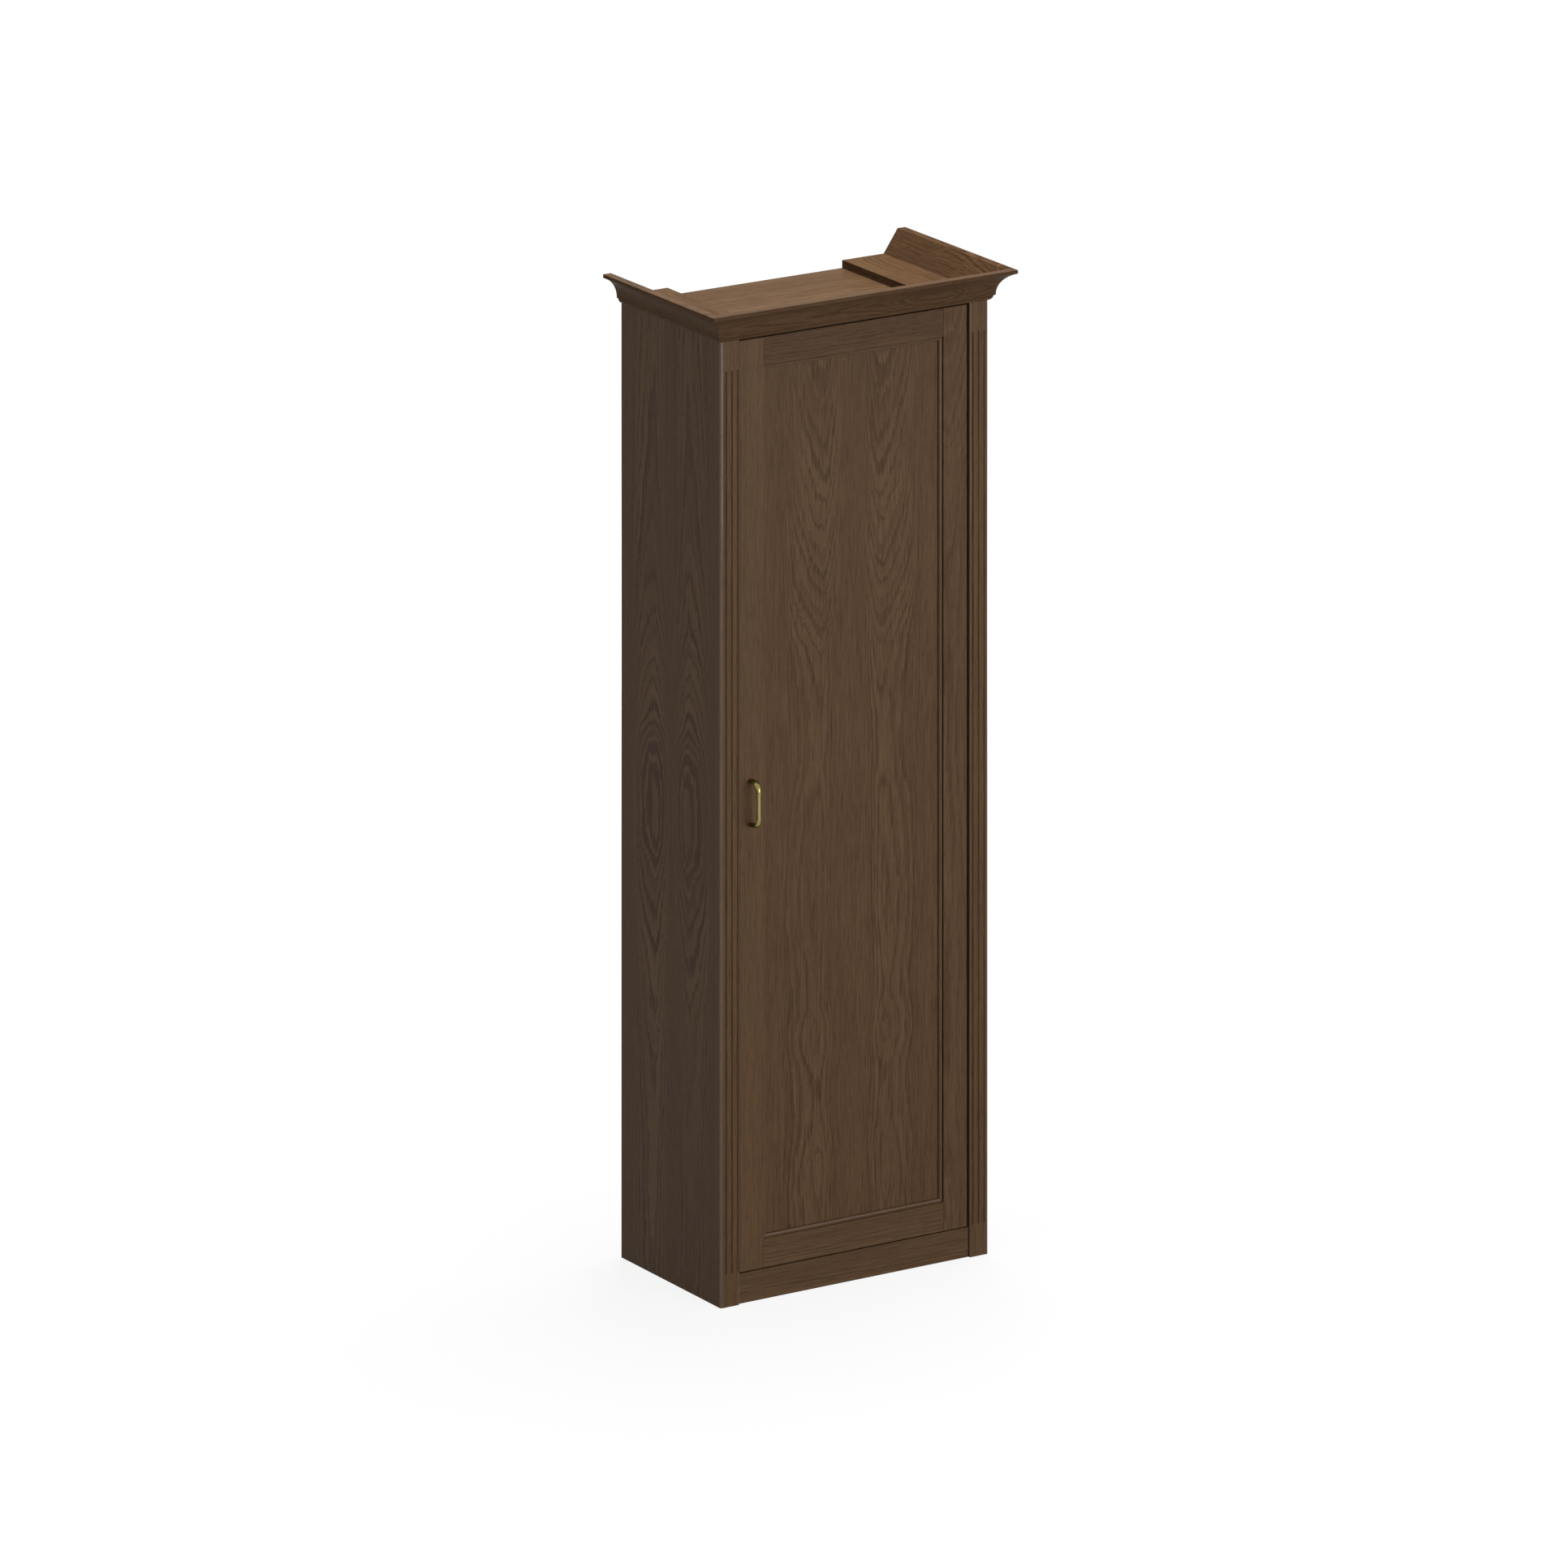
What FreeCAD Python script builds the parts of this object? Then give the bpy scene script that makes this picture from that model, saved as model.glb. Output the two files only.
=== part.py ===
import FreeCAD, Part
import os
import re
import Sketcher

# Tall office cupboard with one inset door, fluted pilasters and a crown cornice.
# Millimetres, +Z up, the door faces -Y.
# The origin lies on the floor under the middle of the whole outline, cornice included.

SIZES = {
    # carcass
    "body_width": 704,
    "body_depth": 416,
    "carcass_height": 2126,
    "side_thickness": 18,
    "board_thickness": 18,
    "back_thickness": 4,
    "back_inset": 12,
    "back_groove": 6,
    "groove_clearance": 0.2,
    "plinth_height": 66,
    "rear_plinth_inset": 40,
    # pilasters and the posts behind them
    "pilaster_width": 49,
    "pilaster_thickness": 22,
    "pilaster_edge_radius": 5,
    "pilaster_inner_radius": 3,
    "flute_middle": 27.7,
    "flute_pitch": 15,
    "flute_radius": 3.5,
    "flute_depth": 3,
    "flute_low": 71,
    "flute_top_margin": 65,
    "door_relief": 2,
    "relief_start": 10,
    "post_depth": 66,
    # cornice and the battens that carry it
    "cornice_height": 70,
    "cornice_overhang": 48,
    "cornice_seat": 22,
    "cornice_top_width": 20,
    "crown_bead_out": 8.4,
    "crown_bead_height": 10.7,
    "crown_bead_radius": 12,
    "crown_step_out": 12.3,
    "crown_step_height": 12.5,
    "cove_start_height": 14,
    "cove_radius": 50,
    "mitre_margin": 5,
    "batten_reach": 120.5,
    "batten_thickness": 17.5,
    "front_batten_width": 60,
    # shelves
    "shelf_thickness": 22,
    "shelf_side_gap": 1,
    "shelf_front_gap": 4,
    "shelf_back_gap": 2,
    "shelf_pin_radius": 2.5,
    "shelf_pin_hold": 8,
    "shelf_pin_inset": 45,
    "shelf_pin_pitch": 32,
    # door
    "door_setback": 6,
    "door_thickness": 22,
    "door_gap": 3,
    "door_gap_bottom": 3,
    "door_gap_top": 4.5,
    "door_edge_radius": 2,
    "frame_width": 63,
    "rail_chamfer": 0.6,
    "door_panel_thickness": 8,
    "panel_recess": 10,
    "panel_groove": 8,
    "panel_play": 0.5,
    "bead_width": 9.2,
    "bead_radius": 5,
    "bead_drop": 3.5,
    "quirk_width": 1.5,
    "quirk_depth": 2,
    # cup hinges
    "hinge_inset": 27,
    "hinge_depth": 14.5,
    "hinge_end": 130,
    "swing_clearance": 1.5,
    "cup_radius": 17.5,
    "cup_depth": 12.5,
    "cup_wall": 1.2,
    "cup_shift": 2.5,
    "cup_wing_height": 62,
    "cup_wing_width": 16,
    "cheek_width": 9,
    "cheek_thickness": 2.5,
    "hinge_pin_radius": 1.5,
    "pin_clearance": 0.05,
    "eye_radius": 3.3,
    "arm_width": 13,
    "arm_thickness": 4,
    "arm_reach": 16,
    "arm_side_clearance": 0.5,
    "foot_thickness": 3,
    "foot_length": 28,
    "plate_thickness": 3,
    "plate_height": 56,
    # handle
    "handle_height": 1100,
    "handle_spacing": 96,
    "handle_standoff": 31,
    "handle_bar_radius": 4.3,
    "collar_offset": 27,
    "collar_radius": 5.2,
    "collar_length": 3.6,
    "neck_radius": 3.8,
    "neck_length": 1,
    "leg_half_width": 9,
    "leg_half_thickness": 4.2,
    "handle_thread_depth": 10,
    # door stop and catches
    "stop_reach": 15,
    "stop_depth": 18,
    "stop_end_gap": 34,
    "bumper_radius": 4,
    "bumper_thickness": 2,
    "catch_place": 150,
    "catch_length": 40,
    "catch_depth": 16,
    "catch_height": 14,
    "magnet_length": 18,
    "magnet_height": 6,
    "magnet_proud": 1,
    "magnet_gap": 0.1,
    "strike_length": 62,
    "strike_height": 9,
    # fasteners
    "dowel_radius": 4,
    "dowel_length": 28,
    "short_dowel_length": 22,
    "hole_clearance": 0.1,
    "cam_radius": 7.5,
    "cam_depth": 12.5,
    "cam_setback": 24,
    "cam_mouth_length": 19,
    "bolt_radius": 3,
    "bolt_grip": 11,
    "joint_inset": 70,
    "joint_step": 36,
    "screw_radius": 2,
    "screw_bite": 12,
    "screw_head_radius": 4,
    "screw_head_height": 2,
}

# Places that several pieces share, each in terms of the sizes.
PLACES = {
    "front": "((cornice_overhang - body_depth) / 2)",
    "rear": "((cornice_overhang + body_depth) / 2)",
    "flank": "(body_width / 2)",
    "inner_side": "(flank - side_thickness)",
    "opening": "(flank - pilaster_width)",
    "post_face": "(opening + door_relief)",
    "pilaster_back": "(front + pilaster_thickness)",
    "post_back": "(pilaster_back + post_depth)",
    "floor_top": "plinth_height",
    "floor_under": "(plinth_height - board_thickness)",
    "ceiling": "(carcass_height - board_thickness)",
    "door_front": "(front + door_setback)",
    "door_back": "(door_front + door_thickness)",
    "door_side": "(opening - door_gap)",
    "door_bottom": "(plinth_height + door_gap_bottom)",
    "door_top": "(carcass_height - door_gap_top)",
    "frame_inside": "(door_side - frame_width)",
    "frame_low": "(door_bottom + frame_width)",
    "frame_high": "(door_top - frame_width)",
    "panel_front": "(door_front + panel_recess)",
    "panel_back": "(panel_front + door_panel_thickness)",
    "bead_front": "(door_front + bead_drop)",
    "plinth_back": "(door_front + board_thickness)",
    "back_face": "(rear - back_inset)",
    "back_front": "(back_face - back_thickness)",
    "shelf_front": "(post_back + shelf_front_gap)",
    "shelf_back": "(back_front - shelf_back_gap)",
    "crown_slope": "((cornice_overhang - cornice_top_width + cornice_seat) / cornice_height)",
    "pin_x": "(door_side - hinge_inset)",
    "pin_y": "(door_front + hinge_depth)",
    "cup_x": "(pin_x + cup_shift)",
    "front_heel": "sqrt(hinge_inset ^ 2 + hinge_depth ^ 2)",
    "back_heel": "sqrt(hinge_inset ^ 2 + (door_thickness - hinge_depth) ^ 2)",
    "arm_cross": "(front_heel + swing_clearance + arm_thickness / 2)",
    "plate_face": "(post_face - plate_thickness)",
    "foot_face": "(plate_face - foot_thickness)",
    "foot_start": "(pin_y + arm_cross + arm_thickness / 2)",
    "foot_middle": "(foot_start + foot_length / 2)",
    "foot_end": "(foot_start + foot_length)",
    "stop_front": "(door_back + bumper_thickness)",
    "handle_x": "(frame_width / 2 - door_side)",
    "bar_y": "(door_front - handle_standoff)",
    "leg_end": "(collar_offset + collar_length / 2 + neck_length)",
    "elbow_radius": "(handle_spacing / 2 - leg_end)",
}

SHELF_COUNT = 5
FIXED_SHELF = (SHELF_COUNT + 1) // 2
HINGE_COUNT = 4
SIDES = {"left": -1, "right": 1}

doc = FreeCAD.newDocument("office_cupboard")
sheet = doc.addObject("Spreadsheet::Sheet", "Sizes")
for row, (alias, size) in enumerate(SIZES.items(), start=1):
    sheet.set(f"A{row}", alias)
    sheet.set(f"B{row}", str(size))
    sheet.setAlias(f"B{row}", alias)
doc.recompute()

blanks = {}
cutters = {}
groups = {}
trims = []


def bound(text):
    """The expression with shared places written out and size names pointed at their cells."""
    def expand(match):
        word = match.group()
        if word in PLACES:
            return bound(PLACES[word])
        return f"Sizes.{word}" if word in SIZES else word
    return re.sub(r"[a-z_]+", expand, str(text))


def number(text):
    """The value of an expression, used to start a sketch near its solved shape."""
    return float(sheet.evalExpression(bound(text)))


def block(name, x, y, z):
    """A box between a low and a high place on each axis."""
    box = doc.addObject("Part::Box", name)
    for size, axis, (low, high) in (("Length", "x", x), ("Width", "y", y), ("Height", "z", z)):
        box.setExpression(size, bound(f"({high}) - ({low})"))
        box.setExpression(f"Placement.Base.{axis}", bound(low))
    return box


ROD_TURNS = {
    "x": FreeCAD.Rotation(FreeCAD.Vector(0, 1, 0), 90),
    "y": FreeCAD.Rotation(FreeCAD.Vector(1, 0, 0), -90),
    "z": FreeCAD.Rotation(),
}


def rod(name, axis, middle, length, radius):
    """A round bar along an axis, given by the middle of its length."""
    bar = doc.addObject("Part::Cylinder", name)
    bar.Placement.Rotation = ROD_TURNS[axis]
    bar.setExpression("Radius", bound(radius))
    bar.setExpression("Height", bound(length))
    for letter, place in zip("xyz", middle):
        start = f"({place}) - ({length}) / 2" if letter == axis else place
        bar.setExpression(f"Placement.Base.{letter}", bound(start))
    return bar


def union(name, pieces):
    """Several shapes joined into one, or the shape itself when it is alone."""
    if len(pieces) == 1:
        return pieces[0]
    joined = doc.addObject("Part::MultiFuse", name)
    joined.Shapes = pieces
    return joined


def carve(name, base, tools):
    """A shape with other shapes taken out of it."""
    cut = doc.addObject("Part::Cut", name)
    cut.Base = base
    cut.Tool = union(f"{name}_tools", tools)
    return cut


def add_board(name, x, y, z, grooves=()):
    """A flat board, with the grooves milled into it."""
    board = block(f"{name}_blank", x, y, z)
    blanks[name] = board
    cutters[name] = list(grooves)


def add_piece(group, solid):
    """One more separate solid of a group that shares a node."""
    groups.setdefault(group, []).append(solid)


def serial(group):
    """A name for the next solid of a group."""
    return f"{group}_{len(groups.get(group, [])) + 1}"


def fasten(group, boards, axis, middle, length, radius):
    """A plain round fastener and its hole through every board that it joins."""
    name = serial(group)
    add_piece(group, rod(name, axis, middle, length, radius))
    hole = rod(f"{name}_hole", axis, middle, f"{length} + 2 * hole_clearance", f"{radius} + hole_clearance")
    for board in boards:
        cutters.setdefault(board, []).append(hole)


def screw(group, boards, axis, seat, way, length):
    """A pan-head screw whose head sits on seat and whose shank runs along way, +1 or -1."""
    name = serial(group)
    index = "xyz".index(axis)

    def shifted(distance):
        spot = list(seat)
        spot[index] = f"{seat[index]} + {way} * ({distance})"
        return spot

    shank = rod(f"{name}_shank", axis, shifted(f"({length}) / 2"), length, "screw_radius")
    head_spot = shifted("-screw_head_height / 2")
    head = rod(f"{name}_head", axis, head_spot, "screw_head_height", "screw_head_radius")
    add_piece(group, union(name, [shank, head]))
    hole = rod(f"{name}_hole", axis, shifted(f"({length}) / 2"), f"{length} + 2 * hole_clearance",
               "screw_radius + hole_clearance")
    for board in boards:
        cutters.setdefault(board, []).append(hole)


def origin_plane(body, role):
    """One of a body's own base planes."""
    return next(plane for plane in body.Origin.OriginFeatures if plane.Role == role)


def start_sketch(body, name, plane, height):
    """An empty sketch on a base plane, moved along the plane's normal."""
    sketch = body.newObject("Sketcher::SketchObject", name)
    sketch.AttachmentSupport = [(origin_plane(body, plane), "")]
    sketch.MapMode = "FlatFace"
    sketch.setExpression("AttachmentOffset.Base.z", bound(height))
    return sketch


def arc_between(start, end, radius, way):
    """A circle arc from start to end, way +1 turning left and -1 turning right."""
    chord = end - start
    rise = max(radius ** 2 - chord.Length ** 2 / 4, 0) ** 0.5
    left = FreeCAD.Vector(-chord.y, chord.x, 0).normalize()
    centre = (start + end) * 0.5 + left * (way * rise)
    circle = Part.Circle(centre, FreeCAD.Vector(0, 0, 1), radius)
    first, last = (start, end) if way > 0 else (end, start)
    return Part.ArcOfCircle(circle, circle.parameter(first), circle.parameter(last))


def add_loop(sketch, corners):
    """A closed outline; a corner is (x, y), or (x, y, radius, way) where an arc leaves it."""
    spots = [FreeCAD.Vector(number(corner[0]), number(corner[1]), 0) for corner in corners]
    edges = []
    for index, corner in enumerate(corners):
        start = spots[index]
        end = spots[(index + 1) % len(corners)]
        if len(corner) == 2:
            edges.append((sketch.addGeometry(Part.LineSegment(start, end)), 1, 2))
            continue
        arc = sketch.addGeometry(arc_between(start, end, number(corner[2]), corner[3]))
        edges.append((arc, 1, 2) if corner[3] > 0 else (arc, 2, 1))
        radius = sketch.addConstraint(Sketcher.Constraint("Radius", arc, number(corner[2])))
        sketch.setExpression(f"Constraints[{radius}]", bound(corner[2]))
    for index, corner in enumerate(corners):
        edge, head, tail = edges[index]
        following = edges[(index + 1) % len(corners)]
        sketch.addConstraint(Sketcher.Constraint("Coincident", edge, tail, following[0], following[1]))
        for kind, text in (("DistanceX", corner[0]), ("DistanceY", corner[1])):
            datum = sketch.addConstraint(Sketcher.Constraint(kind, -1, 1, edge, head, number(text)))
            sketch.setExpression(f"Constraints[{datum}]", bound(text))


def mirrored(corners):
    """An outline whose places are already mirrored, with its arcs turned the other way."""
    return [(*corner[:2], corner[2], -corner[3]) if len(corner) > 2 else corner for corner in corners]


def prism(name, plane, height, corners, length):
    """A body of one outline, padded along the plane's normal."""
    body = doc.addObject("PartDesign::Body", name)
    sketch = start_sketch(body, f"{name}_outline", plane, height)
    add_loop(sketch, corners)
    pad = body.newObject("PartDesign::Pad", f"{name}_pad")
    pad.Profile = sketch
    pad.setExpression("Length", bound(length))
    return body


def trim(body, plane, height, loops):
    """Takes outlines out of a body, against the plane's normal and all the way through."""
    before = body.Tip
    sketch = start_sketch(body, f"{body.Name}_trim", plane, height)
    for corners in loops:
        add_loop(sketch, corners)
    pocket = body.newObject("PartDesign::Pocket", f"{body.Name}_pocket")
    pocket.Profile = sketch
    pocket.Type = "ThroughAll"
    trims.append((before, pocket))


def make_carcass():
    groove_y = ("back_front - groove_clearance", "back_face + groove_clearance")
    groove_low = "(floor_top - back_groove)"
    groove_high = "(ceiling + back_groove)"
    for label, side in SIDES.items():
        near, far = ("inner_side", "flank") if side > 0 else ("-flank", "-inner_side")
        groove_x = ("inner_side", "inner_side + back_groove")
        if side < 0:
            groove_x = ("-inner_side - back_groove", "-inner_side")
        groove = block(f"{label}_back_groove", groove_x, groove_y, (groove_low, groove_high))
        add_board(f"{label}_side_panel", (near, far), ("pilaster_back", "rear"), (0, "carcass_height"),
                  [groove])

    between = ("-inner_side", "inner_side")
    floor_groove = block("floor_back_groove", between, groove_y, (groove_low, "floor_top"))
    add_board("bottom_panel", between, ("plinth_back", "rear"), ("floor_under", "floor_top"), [floor_groove])

    # The top stops short of the door's heel, which swings inwards at the hinge side.
    notch_x = "pin_x - back_heel - swing_clearance"
    notch_y = "pin_y + front_heel + swing_clearance"
    top_corners = [
        ("-inner_side", "stop_front"),
        (notch_x, "stop_front"),
        (notch_x, notch_y),
        ("inner_side", notch_y),
        ("inner_side", "rear"),
        ("-inner_side", "rear"),
    ]
    blanks["top_panel"] = prism("top_panel_blank", "XY_Plane", "ceiling", top_corners, "board_thickness")
    cutters["top_panel"] = [block("ceiling_back_groove", between, groove_y, ("ceiling", groove_high))]

    back_edge = "inner_side + back_groove - groove_clearance"
    add_board("back_panel", (f"-({back_edge})", back_edge), ("back_front", "back_face"),
              (f"{groove_low} + groove_clearance", f"{groove_high} - groove_clearance"))
    add_board("plinth_front", ("-opening", "opening"), ("door_front", "plinth_back"), (0, "plinth_height"))
    add_board("plinth_rear", between,
              ("back_front - rear_plinth_inset", "back_front - rear_plinth_inset + board_thickness"),
              (0, "floor_under"))
    post_y = ("pilaster_back", "post_back")
    post_z = ("floor_top", "ceiling")
    add_board("left_post", ("-inner_side", "-post_face"), post_y, post_z)
    add_board("hinge_post", ("post_face", "inner_side"), post_y, post_z)


def make_pilaster(label, side):
    """A fluted strip, rounded on its front edges and relieved behind for the door's heel."""
    inner = "pilaster_inner_radius"
    outer = "pilaster_edge_radius"
    relief = "front + relief_start"
    corners = [
        (f"{side} * opening", f"front + {inner}", inner, side),
        (f"{side} * (opening + {inner})", "front"),
        (f"{side} * (flank - {outer})", "front", outer, side),
        (f"{side} * flank", f"front + {outer}"),
        (f"{side} * flank", "pilaster_back"),
        (f"{side} * post_face", "pilaster_back"),
        (f"{side} * post_face", relief),
        (f"{side} * opening", relief),
    ]
    node = f"{label}_pilaster"
    blanks[node] = prism(f"{node}_blank", "XY_Plane", 0, corners, "carcass_height")
    middle = f"{side} * (flank - flute_middle)"
    depth = "front + flute_depth - flute_radius"
    low = "flute_low + flute_radius"
    high = "carcass_height - flute_top_margin - flute_radius"
    for step in (-1, 0, 1):
        place = (f"{middle} + {step} * flute_pitch", depth)
        name = f"{node}_flute_{step + 2}"
        shaft_middle = (*place, f"({low} + {high}) / 2")
        shaft = rod(f"{name}_shaft", "z", shaft_middle, f"{high} - ({low})", "flute_radius")
        ends = []
        for end, height in (("low", low), ("high", high)):
            ball = doc.addObject("Part::Sphere", f"{name}_{end}_end")
            ball.setExpression("Radius", bound("flute_radius"))
            for letter, text in zip("xyz", (*place, height)):
                ball.setExpression(f"Placement.Base.{letter}", bound(text))
            ends.append(ball)
        cutters.setdefault(node, []).append(union(name, [shaft, *ends]))


def crown_section(across):
    """The cornice outline; across turns a distance out of the body into a sketch place."""
    cove_run = "(crown_step_out + cove_radius - cornice_overhang)"
    cove_end = f"cove_start_height + sqrt(cove_radius ^ 2 - {cove_run} ^ 2)"
    outline = [
        ("-cornice_seat", "0"),
        ("0", "0", "crown_bead_radius", 1),
        ("crown_bead_out", "crown_bead_height"),
        ("crown_step_out", "crown_step_height"),
        ("crown_step_out", "cove_start_height", "cove_radius", -1),
        ("cornice_overhang", cove_end),
        ("cornice_overhang", "cornice_height"),
        ("cornice_overhang - cornice_top_width", "cornice_height"),
    ]
    return [(across(out), f"carcass_height + {up}", *arc) for out, up, *arc in outline]


def mitre_corner(side, keep_front):
    """The corner that a 45 degree mitre takes off the front or the side cornice."""
    inner = "cornice_seat + mitre_margin"
    outer = "cornice_overhang + mitre_margin"
    inner_end = (f"{side} * (flank - ({inner}))", f"front + {inner}")
    outer_end = (f"{side} * (flank + {outer})", f"front - ({outer})")
    waste = (outer_end[0], inner_end[1]) if keep_front else (inner_end[0], outer_end[1])
    return [inner_end, outer_end, waste]


def make_cornice():
    mitre_height = "carcass_height + cornice_height + mitre_margin"

    front_section = mirrored(crown_section(lambda out: f"front - ({out})"))
    half_length = "(flank + cornice_overhang)"
    front = prism("cornice_front", "YZ_Plane", f"-{half_length}", front_section, f"2 * {half_length}")
    trim(front, "XY_Plane", mitre_height, [mitre_corner(side, True) for side in SIDES.values()])
    blanks["cornice_front"] = front

    for label, side in SIDES.items():
        section = crown_section(lambda out: f"{side} * (flank + {out})")
        if side < 0:
            section = mirrored(section)
        # This plane's normal points to -Y, so the section lies at the rear and is padded forwards.
        strip = prism(f"cornice_{label}", "XZ_Plane", "-rear", section, "rear - front + cornice_overhang")
        trim(strip, "XY_Plane", mitre_height, [mitre_corner(side, False)])
        blanks[f"cornice_{label}"] = strip

    lean = "cornice_seat - crown_slope * batten_thickness"
    over = "carcass_height + batten_thickness"
    for label, side in SIDES.items():
        corners = [
            (f"{side} * (flank - batten_reach)", "carcass_height"),
            (f"{side} * (flank - cornice_seat)", "carcass_height"),
            (f"{side} * (flank - ({lean}))", over),
            (f"{side} * (flank - batten_reach)", over),
        ]
        node = f"cornice_batten_{label}"
        blanks[node] = prism(f"{node}_blank", "XZ_Plane", "-rear", corners, "rear - front - cornice_seat")
    corners = [
        ("front + cornice_seat", "carcass_height"),
        ("front + cornice_seat + front_batten_width", "carcass_height"),
        ("front + cornice_seat + front_batten_width", over),
        (f"front + {lean}", over),
    ]
    node = "cornice_batten_front"
    half_length = "(flank - batten_reach)"
    blanks[node] = prism(f"{node}_blank", "YZ_Plane", f"-{half_length}", corners, f"2 * {half_length}")


def shelf_level(index):
    """The underside of a shelf, counted from the bottom, at equal clear heights."""
    clear = f"(ceiling - floor_top - {SHELF_COUNT} * shelf_thickness) / {SHELF_COUNT + 1}"
    return f"(floor_top + {index} * ({clear}) + {index - 1} * shelf_thickness)"


def shelf_name(index):
    return "fixed_shelf" if index == FIXED_SHELF else f"shelf_{index}"


def make_shelves():
    for index in range(1, SHELF_COUNT + 1):
        level = shelf_level(index)
        reach = "inner_side" if index == FIXED_SHELF else "(inner_side - shelf_side_gap)"
        add_board(shelf_name(index), (f"-{reach}", reach), ("shelf_front", "shelf_back"),
                  (level, f"{level} + shelf_thickness"))
        if index == FIXED_SHELF:
            continue
        for label, side in SIDES.items():
            for row in ("shelf_front + shelf_pin_inset", "shelf_back - shelf_pin_inset"):
                spot = (f"{side} * inner_side", row, f"{level} - shelf_pin_radius")
                fasten("shelf_pins", [f"{label}_side_panel"], "x", spot, "2 * shelf_pin_hold",
                       "shelf_pin_radius")
                for step in (-1, 1):
                    # Spare holes above and below, for other shelf heights.
                    spare = (*spot[:2], f"{spot[2]} + {step} * shelf_pin_pitch")
                    hole = rod(f"{label}_spare_hole", "x", spare, "2 * shelf_pin_hold",
                               "shelf_pin_radius + hole_clearance")
                    cutters[f"{label}_side_panel"].append(hole)


def join_boards(node, face, way, front_edge):
    """Cams, cam bolts and dowels that hold a level board between the side panels."""
    thickness = "shelf_thickness" if node == "fixed_shelf" else "board_thickness"
    middle = f"({face}) + {way} * {thickness} / 2"
    for label, side in SIDES.items():
        side_panel = f"{label}_side_panel"
        for row, step in ((f"{front_edge} + joint_inset", "joint_step"),
                          ("shelf_back - joint_inset", "-joint_step")):
            cam_x = f"{side} * (inner_side - cam_setback)"
            name = serial("cam_locks")
            cam_spot = (cam_x, row, f"({face}) + {way} * cam_depth / 2")
            disc = rod(f"{name}_disc", "z", cam_spot, "cam_depth", "cam_radius")
            mouth_spot = (f"{cam_x} + {side} * cam_radius", row, middle)
            mouth_radius = "bolt_radius + 2 * hole_clearance"
            mouth = rod(f"{name}_mouth", "x", mouth_spot, "cam_mouth_length", mouth_radius)
            add_piece("cam_locks", carve(name, disc, [mouth]))
            bore = rod(f"{name}_bore", "z", (*cam_spot[:2], f"{face} + {way} * (cam_depth / 2)"),
                       "cam_depth + 2 * hole_clearance", "cam_radius + hole_clearance")
            cutters[node].append(bore)
            bolt_x = f"{side} * (inner_side + (bolt_grip - cam_setback) / 2)"
            fasten("cam_bolts", [side_panel, node], "x", (bolt_x, row, middle), "bolt_grip + cam_setback",
                   "bolt_radius")
            dowel_spot = (f"{side} * inner_side", f"{row} + {step}", middle)
            fasten("carcass_dowels", [side_panel, node], "x", dowel_spot, "short_dowel_length",
                   "dowel_radius")


def make_carcass_joints():
    join_boards("bottom_panel", "floor_under", 1, "shelf_front")
    join_boards("top_panel", "carcass_height", -1, "shelf_front")
    join_boards("fixed_shelf", shelf_level(FIXED_SHELF), 1, "shelf_front")

    dowel = ("short_dowel_length", "dowel_radius")
    for side in SIDES.values():
        for share in (0.1, 0.9):
            spot = (f"{side} * opening * {share}", "plinth_back", "floor_under + board_thickness / 2")
            fasten("carcass_dowels", ["plinth_front", "bottom_panel"], "y", spot, *dowel)
        rear_row = "back_front - rear_plinth_inset + board_thickness / 2"
        spot = (f"{side} * opening / 2", rear_row, "floor_under")
        fasten("carcass_dowels", ["plinth_rear", "bottom_panel"], "z", spot, *dowel)

    for label, side in SIDES.items():
        boards = [f"{label}_side_panel", f"{label}_pilaster"]
        for share in (0.05, 0.2, 0.4, 0.6, 0.8, 0.95):
            spot = (f"{side} * (flank - side_thickness / 2)", "pilaster_back", f"{share} * carcass_height")
            fasten("pilaster_dowels", boards, "y", spot, "dowel_length", "dowel_radius")

    screw_length = "board_thickness + screw_bite"
    for label, side in SIDES.items():
        for share in (0.25, 0.55, 0.85):
            seat = (f"{side} * (flank - 0.8 * batten_reach)", f"front + {share} * body_depth", "ceiling")
            screw("batten_screws", ["top_panel", f"cornice_batten_{label}"], "z", seat, 1, screw_length)
    for share in (-0.7, 0, 0.7):
        row = "front + cornice_seat + front_batten_width / 2"
        seat = (f"{share} * (flank - batten_reach)", row, "ceiling")
        screw("batten_screws", ["top_panel", "cornice_batten_front"], "z", seat, 1, screw_length)


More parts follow.
